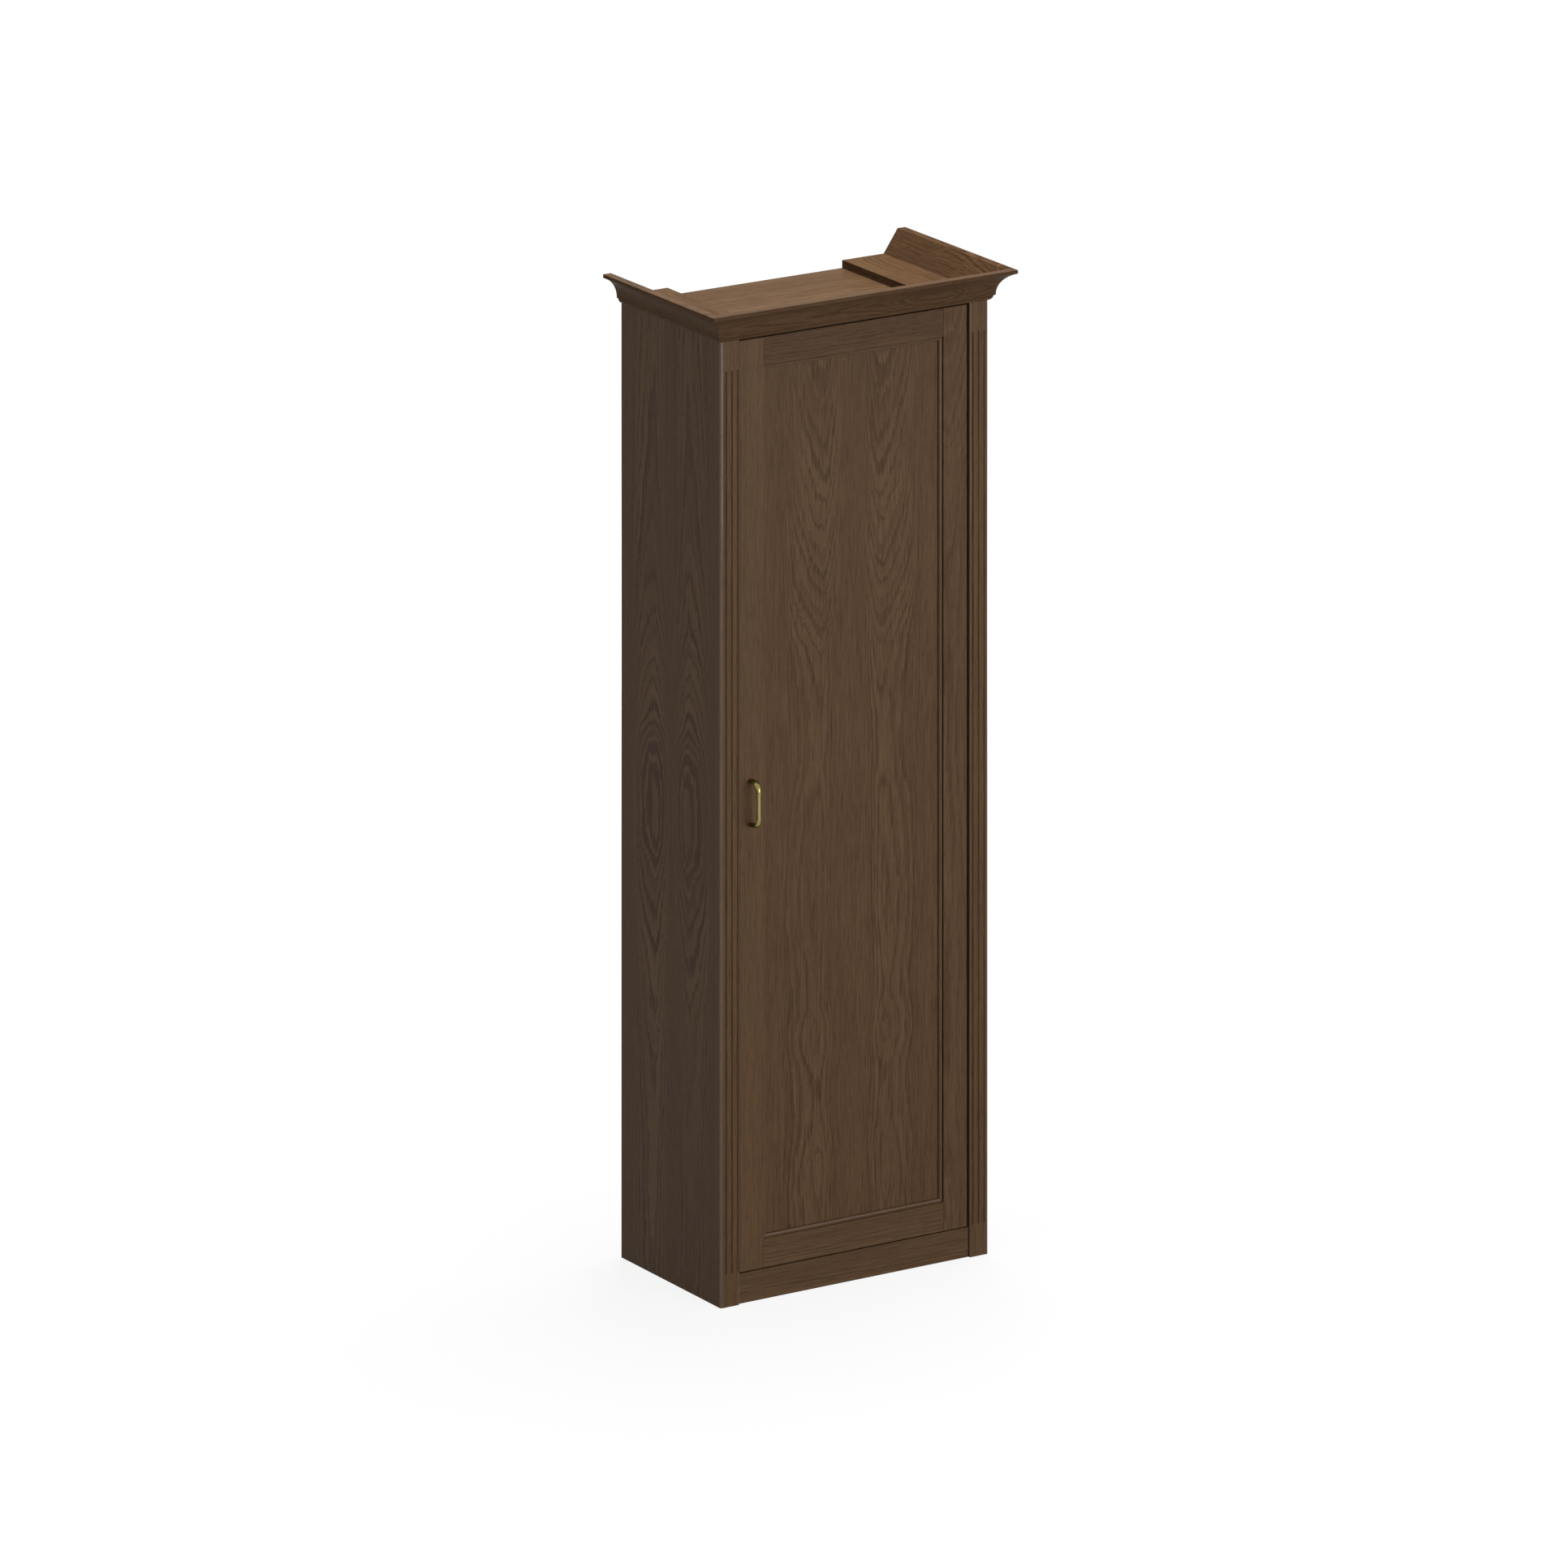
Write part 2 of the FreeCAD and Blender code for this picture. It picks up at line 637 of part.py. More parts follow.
def make_door_frame():
    radius = "door_edge_radius"
    groove = ("panel_front - groove_clearance", "panel_back + groove_clearance")
    for label, side in SIDES.items():
        bed = "(frame_inside + panel_groove)"
        corners = [
            (f"{side} * frame_inside", "door_front"),
            (f"{side} * (door_side - {radius})", "door_front", radius, side),
            (f"{side} * door_side", f"door_front + {radius}"),
            (f"{side} * door_side", "door_back"),
            (f"{side} * frame_inside", "door_back"),
            (f"{side} * frame_inside", groove[1]),
            (f"{side} * {bed}", groove[1]),
            (f"{side} * {bed}", groove[0]),
            (f"{side} * frame_inside", groove[0]),
        ]
        node = f"door_stile_{label}"
        blanks[node] = prism(f"{node}_blank", "XY_Plane", "door_bottom", corners, "door_top - door_bottom")

    tongue = ("panel_front", "panel_back")
    tongue_reach = "(frame_inside + panel_groove - panel_play)"
    for label, low, high in (("bottom", "door_bottom", "frame_low"), ("top", "frame_high", "door_top")):
        node = f"door_rail_{label}"
        # The front ends are eased, which leaves a fine groove along each joint with a stile.
        corners = [
            ("-frame_inside", "door_front + rail_chamfer"),
            ("rail_chamfer - frame_inside", "door_front"),
            ("frame_inside - rail_chamfer", "door_front"),
            ("frame_inside", "door_front + rail_chamfer"),
            ("frame_inside", "door_back"),
            ("-frame_inside", "door_back"),
        ]
        body = prism(f"{node}_body", "XY_Plane", low, corners, f"{high} - {low}")
        tenons = block(f"{node}_tenons", (f"-{tongue_reach}", tongue_reach), tongue, (low, high))
        blanks[node] = union(f"{node}_blank", [body, tenons])
        bed = ("frame_low - panel_groove", "frame_low")
        if label == "top":
            bed = ("frame_high", "frame_high + panel_groove")
        cutters[node] = [block(f"{node}_groove", (f"-{tongue_reach}", tongue_reach), groove, bed)]

    spread = "(panel_groove - panel_play)"
    add_board("door_panel", (f"-(frame_inside + {spread})", f"frame_inside + {spread}"), tongue,
              (f"frame_low - {spread}", f"frame_high + {spread}"))


def bead_section(edge, way):
    """The bead outline from the frame's edge inwards: a quirk, a flat and a round down to the panel."""
    quirk = "bead_front + quirk_depth"
    return [
        (edge, "panel_front"),
        (edge, quirk),
        (f"{edge} + {way} * quirk_width", quirk),
        (f"{edge} + {way} * quirk_width", "bead_front"),
        (f"{edge} + {way} * (bead_width - bead_radius)", "bead_front", "bead_radius", way),
        (f"{edge} + {way} * bead_width", "bead_front + bead_radius"),
        (f"{edge} + {way} * bead_width", "panel_front"),
    ]


def make_beads():
    past = "(bead_width + mitre_margin)"
    for label, side in SIDES.items():
        edge = f"{side} * frame_inside"
        section = bead_section(edge, -side)
        strip = prism(f"door_bead_{label}", "XY_Plane", "frame_low", section, "frame_high - frame_low")
        loops = []
        for end, way in (("frame_low", 1), ("frame_high", -1)):
            loops.append([
                (edge, end),
                (f"{edge} - {side} * {past}", end),
                (f"{edge} - {side} * {past}", f"{end} + {way} * {past}"),
            ])
        trim(strip, "XZ_Plane", "mitre_margin - door_front", loops)
        blanks[f"door_bead_{label}"] = strip

    for label, edge, way in (("bottom", "frame_low", 1), ("top", "frame_high", -1)):
        section = mirrored([(across, up, *arc) for up, across, *arc in bead_section(edge, way)])
        strip = prism(f"door_bead_{label}", "YZ_Plane", "-frame_inside", section, "2 * frame_inside")
        loops = []
        for side in SIDES.values():
            end = f"{side} * frame_inside"
            loops.append([
                (end, edge),
                (end, f"{edge} + {way} * {past}"),
                (f"{end} - {side} * {past}", f"{edge} + {way} * {past}"),
            ])
        trim(strip, "XZ_Plane", "mitre_margin - door_front", loops)
        blanks[f"door_bead_{label}"] = strip


def make_handle():
    """A cast D handle: a ringed bar and two legs that widen towards the door."""
    half = "(handle_spacing / 2)"
    pieces = [rod("handle_bar", "z", ("handle_x", "bar_y", "handle_height"),
                  "2 * (collar_offset - collar_length / 2 - neck_length)", "handle_bar_radius")]
    for label, way in (("low", -1), ("high", 1)):
        collar_z = f"handle_height + {way} * collar_offset"
        pieces.append(rod(f"handle_collar_{label}", "z", ("handle_x", "bar_y", collar_z), "collar_length",
                          "collar_radius"))
        pieces.append(rod(f"handle_neck_{label}", "z", ("handle_x", "bar_y", collar_z),
                          "collar_length + 2 * neck_length", "neck_radius"))
        # The leg runs straight off the door, then turns a quarter circle into the bar.
        stations = [("door_front", half, 90, "leg_half_width", "leg_half_thickness")]
        for turn, share in ((0, 0.93), (30, 0.82), (60, 0.66), (90, 0.51)):
            y = f"bar_y + elbow_radius * (1 - sin({turn} deg))"
            rise = f"{half} - elbow_radius * (1 - cos({turn} deg))"
            stations.append((y, rise, 90 + way * turn, f"{share} * leg_half_width", "handle_bar_radius"))
        sections = []
        for step, (y, rise, angle, major, minor) in enumerate(stations, start=1):
            ring = doc.addObject("Part::Ellipse", f"handle_leg_{label}_{step}")
            ring.Placement.Rotation = FreeCAD.Rotation(FreeCAD.Vector(1, 0, 0), angle)
            ring.setExpression("MajorRadius", bound(major))
            ring.setExpression("MinorRadius", bound(minor))
            ring.setExpression("Placement.Base.x", bound("handle_x"))
            ring.setExpression("Placement.Base.y", bound(y))
            ring.setExpression("Placement.Base.z", bound(f"handle_height + {way} * ({rise})"))
            sections.append(ring)
        leg = doc.addObject("Part::Loft", f"handle_leg_{label}")
        leg.Sections = sections
        leg.Solid = True
        leg.Ruled = False
        pieces.append(leg)
        seat = ("handle_x", "door_back", f"handle_height + {way} * {half}")
        screw("handle_screws", ["door_stile_left", "handle"], "y", seat, -1,
              "door_thickness + handle_thread_depth")
    blanks["handle"] = union("handle_casting", pieces)


def hinge_level(index):
    """The height of a hinge, the outer two at equal distances from the door's ends."""
    span = f"(door_top - door_bottom - 2 * hinge_end) / {HINGE_COUNT - 1}"
    return f"(door_bottom + hinge_end + {index} * {span})"


def make_hinge(index):
    """A cup hinge for an inset door: a cup in the door and a gooseneck arm on the post."""
    level = hinge_level(index)
    name = f"hinge_{index + 1}"

    # The cup, sunk in the door's back, with screw wings and two cheeks that hold the pin.
    cup_middle = ("cup_x", "door_back - cup_depth / 2", level)
    outer = rod(f"{name}_cup_outer", "y", cup_middle, "cup_depth", "cup_radius")
    wing = block(f"{name}_cup_wing", ("cup_x - cup_wing_width / 2", "cup_x + cup_wing_width / 2"),
                 ("door_back", "door_back + cup_wall"),
                 (f"{level} - cup_wing_height / 2", f"{level} + cup_wing_height / 2"))
    rim_spot = ("cup_x", "door_back + cup_wall / 2", level)
    rim = rod(f"{name}_cup_rim", "y", rim_spot, "cup_wall", "cup_radius + cup_wall")
    hollow = rod(f"{name}_cup_hollow", "y", ("cup_x", "door_back - (cup_depth - 3 * cup_wall) / 2", level),
                 "cup_depth + cup_wall", "cup_radius - cup_wall")
    bowl = carve(f"{name}_bowl", union(f"{name}_cup_outside", [outer, wing, rim]), [hollow])
    floor = "door_back - cup_depth + cup_wall / 2"
    cheek_gap = "(arm_width / 2 + arm_side_clearance)"
    cheeks = []
    for label, way in (("low", -1), ("high", 1)):
        near = f"{level} + {way} * {cheek_gap}"
        far = f"{level} + {way} * ({cheek_gap} + cheek_thickness)"
        cheeks.append(block(f"{name}_cheek_{label}", ("pin_x - cheek_width / 2", "pin_x + cheek_width / 2"),
                            (floor, "pin_y + eye_radius"), (near, far) if way > 0 else (far, near)))
    pin_middle = ("pin_x", "pin_y", level)
    pin_length = f"2 * ({cheek_gap} + cheek_thickness)"
    bore_radius = "hinge_pin_radius + pin_clearance"
    pin_seat = rod(f"{name}_pin_seat", "z", pin_middle, pin_length, bore_radius)
    cup = carve(f"{name}_cup", union(f"{name}_cup_shell", [bowl, *cheeks]), [pin_seat])
    add_piece("hinge_cups", cup)
    add_piece("hinge_pins", rod(f"{name}_pin", "z", pin_middle, pin_length, "hinge_pin_radius"))
    bed = rod(f"{name}_cup_bed", "y", cup_middle, "cup_depth + 2 * hole_clearance",
              "cup_radius + hole_clearance")
    cutters.setdefault("door_stile_right", []).append(bed)
    for way in (-1, 1):
        wing_spot = f"{level} + {way} * (cup_wing_height / 2 - 1.5 * screw_head_radius)"
        seat = ("cup_x", "door_back + cup_wall", wing_spot)
        screw("hinge_cup_screws", ["door_stile_right", f"{name}_cup"], "y", seat, -1, "screw_bite")

    # The arm leaves the cup, steps round the door's heel and lies along the post.
    half = "(arm_thickness / 2)"
    slant = "(arm_thickness * sqrt(0.5))"
    outer_x = f"pin_x - (arm_reach + {half})"
    inner_x = f"pin_x - (arm_reach - {half})"
    corners = [
        ("pin_x", f"pin_y - {slant}"),
        (outer_x, f"pin_y + arm_reach + {half} - {slant}"),
        (outer_x, "foot_start"),
        ("foot_face", "foot_start"),
        ("foot_face", "foot_end"),
        ("plate_face", "foot_end"),
        ("plate_face", "foot_start - arm_thickness"),
        (inner_x, "foot_start - arm_thickness"),
        (inner_x, f"pin_y + arm_reach - {half} + {slant}"),
        (f"pin_x + {slant}", "pin_y"),
    ]
    stroke = prism(f"{name}_stroke", "XY_Plane", f"{level} - arm_width / 2", corners, "arm_width")
    eye = rod(f"{name}_eye", "z", pin_middle, "arm_width", "eye_radius")
    running = rod(f"{name}_eye_bore", "z", pin_middle, pin_length, bore_radius)
    add_piece("hinge_arms", carve(f"{name}_arm", union(f"{name}_arm_solid", [stroke, eye]), [running]))

    add_piece("hinge_plates", block(f"{name}_plate", ("plate_face", "post_face"), ("foot_start", "foot_end"),
                                    (f"{level} - plate_height / 2", f"{level} + plate_height / 2")))
    for way in (-1, 1):
        seat = ("plate_face", "foot_middle", f"{level} + {way} * (plate_height / 2 - 2 * screw_head_radius)")
        screw("hinge_plate_screws", ["hinge_post", f"{name}_plate"], "x", seat, 1,
              "plate_thickness + screw_bite")
    seat = ("foot_face", "foot_middle", level)
    screw("hinge_arm_screws", ["hinge_post", f"{name}_plate", f"{name}_arm"], "x", seat, 1,
          "foot_thickness + plate_thickness + screw_bite")


def make_door_stop():
    """A strip on the left post that the door closes against, with soft bumpers."""
    add_board("door_stop", ("-post_face", "stop_reach - opening"), ("stop_front", "stop_front + stop_depth"),
              ("floor_top + stop_end_gap", "ceiling - stop_end_gap"))
    screw_length = "stop_reach + door_relief + screw_bite"
    for share in (0.1, 0.5, 0.9):
        height = f"floor_top + {share} * (ceiling - floor_top)"
        spot = ("(stop_reach + door_gap) / 2 - opening", "stop_front - bumper_thickness / 2", height)
        add_piece("door_bumpers", rod(serial("door_bumpers"), "y", spot, "bumper_thickness", "bumper_radius"))
    for share in (0.06, 0.35, 0.65, 0.94):
        height = f"floor_top + {share} * (ceiling - floor_top)"
        seat = ("stop_reach - opening", "stop_front + stop_depth / 2", height)
        screw("door_stop_screws", ["door_stop", "left_post"], "x", seat, -1, screw_length)


def make_catches():
    """Magnetic catches at the door's top and bottom, with steel strikes on the rails."""
    near = ("catch_place - catch_length / 2 - opening", "catch_place + catch_length / 2 - opening")
    middle = "catch_place - opening"
    strike_thickness = "(bumper_thickness - magnet_proud - magnet_gap)"
    places = (("bottom", "floor_top", 1, "door_bottom"), ("top", "ceiling", -1, "ceiling"))
    for label, face, way, strike_edge in places:
        far = f"{face} + {way} * catch_height"
        body_z = (face, far) if way > 0 else (far, face)
        body = block(f"catch_{label}_body", near, ("stop_front", "stop_front + catch_depth"), body_z)
        heart = f"{face} + {way} * catch_height / 2"
        magnet_x = (f"{middle} - magnet_length / 2", f"{middle} + magnet_length / 2")
        magnet_z = (f"{heart} - magnet_height / 2", f"{heart} + magnet_height / 2")
        magnet_y = ("stop_front - magnet_proud", "stop_front + catch_depth / 2")
        magnet = block(f"catch_{label}_magnet", magnet_x, magnet_y, magnet_z)
        add_piece("catch_magnets", magnet)
        add_piece("catch_housings", carve(f"catch_{label}_housing", body, [magnet]))
        strike_z = (f"{heart} - strike_height / 2", f"{heart} + strike_height / 2")
        strike_x = (f"{middle} - strike_length / 2", f"{middle} + strike_length / 2")
        strike_y = ("door_back", f"door_back + {strike_thickness}")
        add_piece("catch_strikes", block(f"catch_{label}_strike", strike_x, strike_y, strike_z))
        panel = "bottom_panel" if label == "bottom" else "top_panel"
        for end in (-1, 1):
            seat = (f"{middle} + {end} * (catch_length / 2 - 1.25 * screw_head_radius)",
                    "stop_front + catch_depth / 2", far)
            screw("catch_screws", [panel, f"catch_{label}_housing"], "z", seat, -way,
                  "catch_height + screw_bite")
            seat = (f"{middle} + {end} * (strike_length / 2 - 1.25 * screw_head_radius)",
                    f"door_back + {strike_thickness}", heart)
            screw("strike_screws", [f"door_rail_{label}", f"catch_{label}_strike"], "y", seat, -1,
                  "screw_bite")


def finish_nodes():
    """Every node with its holes cut, under the name that its file takes."""
    nodes = {}
    for name, blank in blanks.items():
        tools = cutters.get(name)
        nodes[name] = carve(f"{name}_node", blank, tools) if tools else blank
    for group, solids in groups.items():
        drilled = []
        for solid in solids:
            tools = cutters.get(solid.Name)
            drilled.append(carve(f"{solid.Name}_drilled", solid, tools) if tools else solid)
        nodes[group] = doc.addObject("Part::Compound", f"{group}_node")
        nodes[group].Links = drilled
    for name, node in nodes.items():
        node.Label = name
    return nodes


def check_model(nodes):
    """Stops the build when a feature failed, a trim cut nothing or a node is not sound."""
    for item in doc.Objects:
        if "Invalid" in item.State or "Error" in item.State:
            raise RuntimeError(f"{item.Name} failed: {item.State}")
    for before, pocket in trims:
        if pocket.Shape.Volume > before.Shape.Volume - 1:
            raise RuntimeError(f"{pocket.Name} cut nothing")
    for name, node in nodes.items():
        if node.Label != name:
            raise RuntimeError(f"{name} is already the label of another object")
        if node.Shape.isNull() or not node.Shape.isValid() or not node.Shape.Solids:
            raise RuntimeError(f"{name} has no sound solid")


make_carcass()
for side_label, side_sign in SIDES.items():
    make_pilaster(side_label, side_sign)
make_cornice()
make_shelves()
make_carcass_joints()
make_door_frame()
make_beads()
make_handle()
for hinge_index in range(HINGE_COUNT):
    make_hinge(hinge_index)
make_door_stop()
make_catches()
node_objects = finish_nodes()
doc.recompute()
check_model(node_objects)

os.makedirs("parts", exist_ok=True)
for node_name, node_object in node_objects.items():
    node_object.Shape.exportStep(f"parts/{node_name}.step")
print(len(node_objects), "nodes", sum(len(node.Shape.Solids) for node in node_objects.values()), "solids")
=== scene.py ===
import math

import bpy
from mathutils import Matrix, Vector


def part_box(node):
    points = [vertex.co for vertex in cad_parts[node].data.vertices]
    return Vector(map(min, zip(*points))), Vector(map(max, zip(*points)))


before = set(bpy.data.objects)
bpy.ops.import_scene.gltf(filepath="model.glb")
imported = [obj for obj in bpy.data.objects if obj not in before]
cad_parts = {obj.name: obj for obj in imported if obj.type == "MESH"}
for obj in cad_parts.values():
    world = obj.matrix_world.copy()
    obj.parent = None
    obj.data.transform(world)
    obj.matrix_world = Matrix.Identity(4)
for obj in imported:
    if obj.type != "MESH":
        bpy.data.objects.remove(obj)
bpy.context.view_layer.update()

# The dressed cupboard: every CAD node keeps its shape and gets a procedural material.
# Metres, +Z up, the door faces -Y.

# The photograph's camera is a shift lens: it looks down and still keeps the verticals upright.
PHOTO_PIXELS = 1932
FOCAL_PIXELS = 16786.9
HORIZON_ABOVE_CENTRE = 4816.03
AXIS_RIGHT_OF_CENTRE = 0.75
YAW = math.radians(32.378)
CAMERA_PLACE = Vector((-16.293, -25.587, 9.759))
SENSOR_WIDTH = 36.0
FAR_CLIP = 100

# Area lamps: name, place, target, size, and power in watts.
AREA_LAMPS = [
    ("overhead", (0.45, 0.35, 4.8), (0, 0.1, 2.1), (1.6, 1.6), 146),
    ("key", (1.5, -6.1, 1.75), (0, 0, 1.75), (4.5, 3.5), 303),
    ("fill", (-5.4, -0.4, 2.8), (0, 0, 1.2), (3.0, 3.0), 62),
]
# A ball lamp behind the cupboard, below the level of its top: name, place, radius, power.
BALL_LAMP = ("rear", (2.6, 4.6, 0.95), 0.8, 320)

# How bright the world is where it lights things, and where it is seen.
WORLD_LIGHT = 0.2
WORLD_SEEN = 1.0

# The lamps light the floor less further out, so its own white grows with the distance.
FLOOR_HALF = 30
FLOOR_GREY = 0.16
FLOOR_DISTANCES = (1.5, 6.0)
FLOOR_WHITES = (0.86, 0.97)

# Colours in sRGB steps of 0 to 255.
OAK_DARK = (65, 45.5, 31)
OAK_MIDDLE = (87, 65.3, 45.7)
OAK_PALE = (107, 83.3, 59)
BEECH_DARK = (166, 126, 86)
BEECH_PALE = (206, 166, 118)
BRASS_DARK = (115, 106, 64)
BRASS_BRIGHT = (140, 130, 80)
ZINC_DARK = (120, 120, 118)
ZINC_BRIGHT = (196, 196, 192)
NICKEL_DARK = (76, 75, 73)
NICKEL_BRIGHT = (150, 149, 145)
PLASTIC_BROWN = (41, 27, 17)
MAGNET_GREY = (36, 36, 38)
RUBBER_BLACK = (31, 31, 31)

# Noise: the range that most of its values lie in, and its detail, usual and fine.
NOISE_RANGE = (0.3, 0.7)
USUAL_DETAIL = 2.0
FINE_DETAIL = 3.0

# Noise in the oak: cells per metre across the grain and along it, and the detail if it isn't usual.
SWAY_GRAIN = (2.5, 1.5)
WAVE_GRAIN = (22, 6)
FRAY_GRAIN = (300, 14)
FADE_GRAIN = (8, 1.6)
STREAK_GRAIN = (320, 8, FINE_DETAIL)
CLOUD_GRAIN = (13, 2.2)
PORE_GRAIN = (620, 28, 1.0)

# Growth rings: how the flame's flanks bend, how far noise moves a ring, and the tones across one.
FLANK_POWER = 1.6
WALL_POWER = 8.0
SWAY_WIDTH = 0.04
WAVE_RINGS = 1.3
FRAY_RINGS = 0.9
PACE_SCALE = 0.4
PACE_RINGS = 1.4
RING_TONES = [(0.0, 0.0), (0.10, 0.08), (0.35, 0.45), (0.65, 0.85), (0.95, 1.0), (1.0, 0.0)]
RING_MEAN = 0.58

# How strongly the rings show, and what is left of that in faded patches, faint years and far flanks.
RING_CONTRAST = 0.66
FADE_NOISE = (0.36, 0.62)
FADE_SHARE = 0.4
YEAR_SHARE = 0.35
FLANK_RINGS = (6.0, 12.0)
FLANK_SHARE = 0.4

# The rest of the oak's tone, the painted shade in the cornice's hollows, its lacquer and its relief.
STREAK_CONTRAST = 0.75
CLOUD_CONTRAST = 0.3
PORE_CONTRAST = 0.28
PORE_NOISE = (0.54, 0.66)
MOULDING_SHADE_CONTRAST = 1.4
MOULDING_SHADE_DISTANCE = 0.03
MOULDING_SHADE_SAMPLES = 12
OAK_ROUGHNESS = (0.40, 0.50)

# Rubbed edges: the largest part of a flat normal and of a rounded one, the coat, and the distances
# from a pilaster's middle between which it sets in.
FLAT_NORMAL = 0.9995
ROUND_NORMAL = 0.985
COAT_ROUGHNESS = 0.08
BEAD_COAT = 0.2
PILASTER_COAT = {"left_pilaster": 0.8, "right_pilaster": 0.5}
PILASTER_OUTER = (0.018, 0.019)
PILASTER_INNER = (-0.0216, -0.0218)

# Beech dowels.
FLECK_SCALE = 900.0
BLOTCH_SCALE = 90.0
BEECH_ROUGHNESS = (0.55, 0.7)

# Metals: noise, the painted shade in the hollows of plated pieces, and the handle painted lighter on its
# side towards the front and darker towards the door, as painted light and shade.
MOTTLE_SCALE = 260.0
SCRATCH_SCALE = 1800.0
HOLLOW_SHADE_SAMPLES = 8
HOLLOW_SHADE_LEVEL = 0.45
PLATE_MOTTLE = 0.5
PLATE_SMOOTHER = 0.06
PLATE_ROUGHER = 0.08
BRASS_MOTTLE = 0.4
BRASS_ROUGHNESS = (0.36, 0.22)
FRONT_LIT_FACING = (0.35, 0.85)
FRONT_LIT_TONES = (0.1, 0.9)

# Moulded pieces.
MOULDED_SCALE = 2200.0
MOULDED_LIGHTER = 1.25
MOULDED_ROUGHER = 0.05

# Bumps: strength and distance.
OAK_BUMP = (0.6, 0.0002)
FINE_BUMP = (0.2, 0.0001)
METAL_BUMP = (0.15, 0.00005)


def linear(colour):
    """An sRGB colour in steps of 0 to 255 as linear RGBA."""
    def channel(step):
        share = step / 255
        return share / 12.92 if share <= 0.04045 else ((share + 0.055) / 1.055) ** 2.4
    return (*[channel(step) for step in colour], 1.0)


def grey(level):
    return (level, level, level, 1.0)


class Graph:
    """The node tree of a material or of the world, with short calls for the nodes that it uses."""

    def __init__(self, owner, shader="Principled BSDF"):
        owner.use_nodes = True
        self.owner = owner
        self.nodes = owner.node_tree.nodes
        self.links = owner.node_tree.links
        self.shader = self.nodes[shader]

    def add(self, kind, inputs=None, **settings):
        node = self.nodes.new(kind)
        for key, value in settings.items():
            setattr(node, key, value)
        for key, value in (inputs or {}).items():
            self.feed(node.inputs[key], value)
        return node

    def feed(self, socket, value):
        if isinstance(value, bpy.types.NodeSocket):
            self.links.new(value, socket)
        else:
            socket.default_value = value

    def wire(self, socket, value):
        self.feed(self.shader.inputs[socket], value)

    def math(self, operation, first, second=0.0, third=0.0):
        inputs = {0: first, 1: second, 2: third}
        return self.add("ShaderNodeMath", inputs, operation=operation).outputs[0]

    def vector(self, x, y, z):
        return self.add("ShaderNodeCombineXYZ", {0: x, 1: y, 2: z}).outputs[0]

    def split(self, vector):
        return self.add("ShaderNodeSeparateXYZ", {0: vector}).outputs

    def place(self):
        return self.add("ShaderNodeTexCoord").outputs["Object"]

    def normal(self):
        return self.add("ShaderNodeTexCoord").outputs["Normal"]

    def noise(self, vector, scale, detail=USUAL_DETAIL):
        inputs = {"Vector": vector, "Scale": scale, "Detail": detail}
        return self.add("ShaderNodeTexNoise", inputs).outputs["Fac"]

    def openness(self, distance, **settings):
        """1 in the open, less in a hollow."""
        return self.add("ShaderNodeAmbientOcclusion", {"Distance": distance}, **settings).outputs["AO"]

    def ramp(self, factor, stops):
        node = self.add("ShaderNodeValToRGB", {"Fac": factor})
        elements = node.color_ramp.elements
        while len(elements) < len(stops):
            elements.new(0.5)
        for element, (spot, colour) in zip(elements, stops):
            element.position = spot
            element.color = colour
        return node.outputs["Color"]

    def remap(self, value, low, high, new_low, new_high):
        inputs = {"Value": value, "From Min": low, "From Max": high}
        inputs.update({"To Min": new_low, "To Max": new_high})
        return self.add("ShaderNodeMapRange", inputs).outputs["Result"]

    def curve(self, value, stops):
        """A smooth curve through (value, level) stops."""
        start, end = stops[0][0], stops[-1][0]
        low = min(level for _, level in stops)
        high = max(level for _, level in stops)
        reach = max(high - low, 1e-6)
        node = self.add("ShaderNodeFloatCurve", {"Value": self.remap(value, start, end, 0.0, 1.0)})
        line = node.mapping.curves[0]
        while len(line.points) < len(stops):
            line.points.new(0.5, 0.5)
        for point, (spot, level) in zip(line.points, stops):
            point.location = ((spot - start) / (end - start), (level - low) / reach)
        node.mapping.update()
        return self.math("MULTIPLY_ADD", node.outputs["Value"], reach, low)

    def bump(self, height, strength, distance):
        inputs = {"Height": height, "Strength": strength, "Distance": distance}
        self.wire("Normal", self.add("ShaderNodeBump", inputs).outputs["Normal"])


def material_graph(name):
    return Graph(bpy.data.materials.new(name))


def link(item):
    bpy.context.scene.collection.objects.link(item)


def set_up_camera():
    """A sheared camera, which does what the photograph's shift lens does."""
    forward = Vector((math.sin(YAW), math.cos(YAW), 0))
    right = Vector((math.cos(YAW), -math.sin(YAW), 0))
    up = Vector((0, 0, 1))
    back = up * HORIZON_ABOVE_CENTRE + right * AXIS_RIGHT_OF_CENTRE - forward * FOCAL_PIXELS
    data = bpy.data.cameras.new("photo_camera")
    data.sensor_width = SENSOR_WIDTH
    data.lens = SENSOR_WIDTH * back.length / PHOTO_PIXELS
    data.clip_end = FAR_CLIP
    camera = bpy.data.objects.new("photo_camera", data)
    stand = bpy.data.objects.new("photo_camera_stand", None)
    link(camera)
    link(stand)
    lean = Matrix((right, up, back.normalized())).transposed().to_4x4()
    lean.translation = CAMERA_PLACE
    camera.parent = stand
    camera.matrix_parent_inverse = lean
    bpy.context.scene.camera = camera


def add_light(name, kind, place, power):
    data = bpy.data.lights.new(name, kind)
    data.energy = power
    light = bpy.data.objects.new(name, data)
    light.location = place
    link(light)
    return light


def add_area_light(name, place, target, size, power):
    light = add_light(name, "AREA", place, power)
    light.data.shape = "RECTANGLE"
    light.data.size, light.data.size_y = size
    light.rotation_euler = (Vector(target) - Vector(place)).to_track_quat("-Z", "Y").to_euler()


def add_ball_light(name, place, radius, power):
    light = add_light(name, "POINT", place, power)
    light.data.shadow_soft_size = radius


